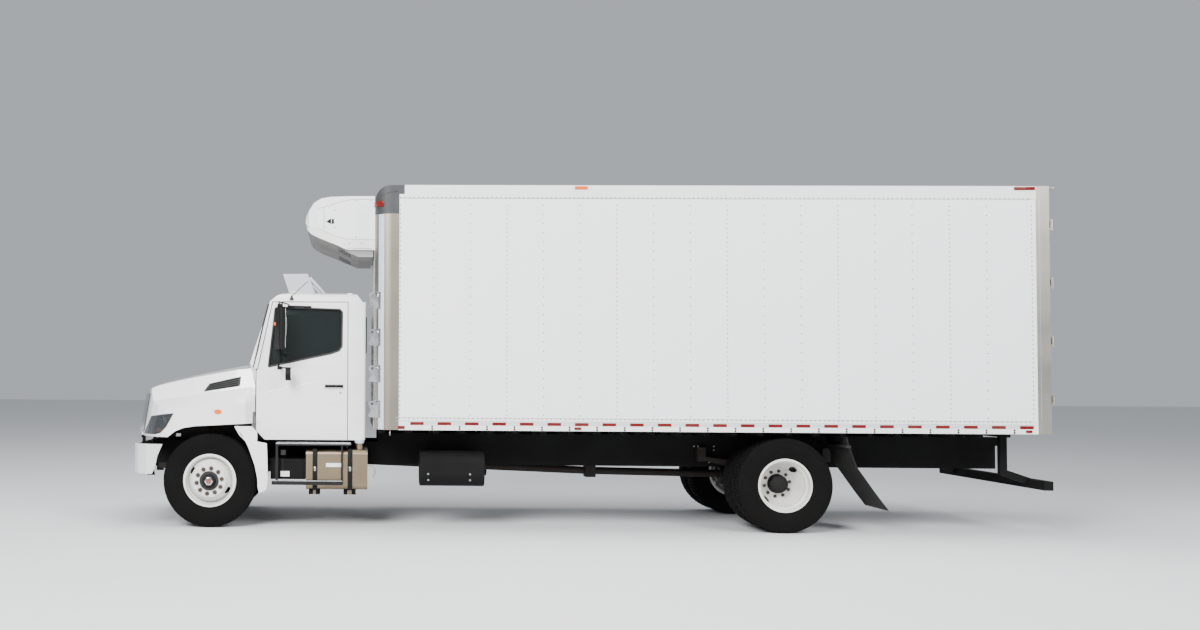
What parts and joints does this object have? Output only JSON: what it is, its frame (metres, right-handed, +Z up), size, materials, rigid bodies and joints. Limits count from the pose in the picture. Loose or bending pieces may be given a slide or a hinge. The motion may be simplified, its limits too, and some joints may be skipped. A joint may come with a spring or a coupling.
{
  "type": "object",
  "caption": "Refrigerated delivery truck: tilt hood, day cab, riveted insulated box body, cooling unit on its nose and twin rear wheels.",
  "frame": {"origin": "on the ground below the middle of the truck's overall box", "axes": "+Z up, -Y is the front of the truck, +Y its rear, +X its left (driver's) side"},
  "size_m": [2.713, 10.23, 3.85],
  "materials": {
    "black_steel": "satin",
    "cast_grey": "rough",
    "tyre_black": "matte",
    "steel_wheel_paint": "satin",
    "painted_metal_white": "gloss",
    "lens_clear": "gloss",
    "chrome_trim": "polished",
    "glass_tint": "gloss",
    "plastic_black": "matte",
    "plastic_grey": "matte",
    "seat_fabric": "woven",
    "aluminium": "brushed",
    "stainless": "brushed",
    "rubber_black": "matte",
    "body_panel_white": "gloss",
    "floor_wood": "ribbed",
    "lens_red": "gloss"
  },
  "bodies": {
    "chassis": {"frame_rails": "black_steel", "frame_crossmembers": "black_steel", "body_subframe": "black_steel", "engine_block": "cast_grey", "driveshaft": "black_steel", "front_axle": "cast_grey", "rear_axle": "cast_grey", "leaf_springs": "black_steel", "front_bumper": "painted_metal_white", "front_brackets": "black_steel", "cab_floor": "black_steel", "cab_cowl": "painted_metal_white", "cab_pillars": "painted_metal_white", "cab_back_panel": "painted_metal_white", "cab_roof": "painted_metal_white", "cab_glass": "glass_tint", "dashboard": "plastic_grey", "seats": "seat_fabric", "roof_deflector": "aluminium", "fuel_tank": "aluminium", "cab_steps": "aluminium", "battery_box": "black_steel", "exhaust_box": "stainless", "unit_fuel_tank": "black_steel", "air_tanks": "black_steel", "mudguards": "rubber_black", "underride_guard": "black_steel", "cargo_side_walls": "body_panel_white", "cargo_roof": "body_panel_white", "cargo_front_wall": "body_panel_white", "cargo_frame": "aluminium", "cargo_floor": "floor_wood", "corner_castings": "cast_grey", "rear_frame": "stainless", "signal_lamps": "lens_red", "climbing_steps": "stainless", "unit_housing": "painted_metal_white", "unit_base": "plastic_grey"},
    "hood": {"hood_shell": "painted_metal_white", "headlights": "lens_clear", "grille": "chrome_trim"},
    "cab_door_left": {"cab_door_left": "painted_metal_white", "door_glass_left": "glass_tint", "mirror_left": "plastic_black"},
    "cab_door_right": {"cab_door_right": "painted_metal_white", "door_glass_right": "glass_tint", "mirror_right": "plastic_black"},
    "knuckle_left": {"knuckle_left": "cast_grey"},
    "knuckle_right": {"knuckle_right": "cast_grey"},
    "tie_rod": {"tie_rod": "black_steel"},
    "wheel_front_left": {"tyre_front_left": "tyre_black", "wheel_front_left": "steel_wheel_paint"},
    "wheel_front_right": {"tyre_front_right": "tyre_black", "wheel_front_right": "steel_wheel_paint"},
    "wheels_rear_left": {"tyres_rear_left": "tyre_black", "wheels_rear_left": "steel_wheel_paint"},
    "wheels_rear_right": {"tyres_rear_right": "tyre_black", "wheels_rear_right": "steel_wheel_paint"},
    "rear_door_left": {"rear_door_left": "body_panel_white"},
    "rear_door_right": {"rear_door_right": "body_panel_white"}
  },
  "joints": [
    {"name": "steer_left", "type": "hinge", "parent": "chassis", "child": "knuckle_left", "pos_m": [0.86, -4.215, 0.526], "axis": [0, 0, 1], "range_deg": [-40, 40]},
    {"name": "steer_right", "type": "hinge", "parent": "chassis", "child": "knuckle_right", "pos_m": [-0.86, -4.215, 0.526], "axis": [0, 0, 1], "range_deg": [-40, 40]},
    {"name": "tie_rod_swing", "type": "hinge", "parent": "knuckle_left", "child": "tie_rod", "pos_m": [0.86, -4.025, 0.414], "axis": [0, 0, 1], "range_deg": [-40, 40]},
    {"name": "spin_front_left", "type": "hinge", "parent": "knuckle_left", "child": "wheel_front_left", "pos_m": [1.015, -4.215, 0.526], "axis": [1, 0, 0], "continuous": true},
    {"name": "spin_front_right", "type": "hinge", "parent": "knuckle_right", "child": "wheel_front_right", "pos_m": [-1.015, -4.215, 0.526], "axis": [1, 0, 0], "continuous": true},
    {"name": "spin_rear_left", "type": "hinge", "parent": "chassis", "child": "wheels_rear_left", "pos_m": [0.933, 2.185, 0.526], "axis": [1, 0, 0], "continuous": true},
    {"name": "spin_rear_right", "type": "hinge", "parent": "chassis", "child": "wheels_rear_right", "pos_m": [-0.933, 2.185, 0.526], "axis": [1, 0, 0], "continuous": true},
    {"name": "hood_tilt", "type": "hinge", "parent": "chassis", "child": "hood", "pos_m": [0, -5.097, 0.984], "axis": [1, 0, 0], "range_deg": [0, 75]},
    {"name": "cab_door_left_swing", "type": "hinge", "parent": "chassis", "child": "cab_door_left", "pos_m": [1.021, -3.711, 1.5], "axis": [0, 0, -1], "range_deg": [0, 70]},
    {"name": "cab_door_right_swing", "type": "hinge", "parent": "chassis", "child": "cab_door_right", "pos_m": [-1.021, -3.711, 1.5], "axis": [0, 0, 1], "range_deg": [0, 70]},
    {"name": "rear_door_left_swing", "type": "hinge", "parent": "chassis", "child": "rear_door_left", "pos_m": [1.305, 5.081, 2.44], "axis": [0, 0, -1], "range_deg": [0, 270]},
    {"name": "rear_door_right_swing", "type": "hinge", "parent": "chassis", "child": "rear_door_right", "pos_m": [-1.305, 5.081, 2.44], "axis": [0, 0, 1], "range_deg": [0, 270]}
  ],
  "couplings": [
    {"joint": "steer_right", "follows": "steer_left", "ratio": 1},
    {"joint": "tie_rod_swing", "follows": "steer_left", "ratio": -1}
  ]
}
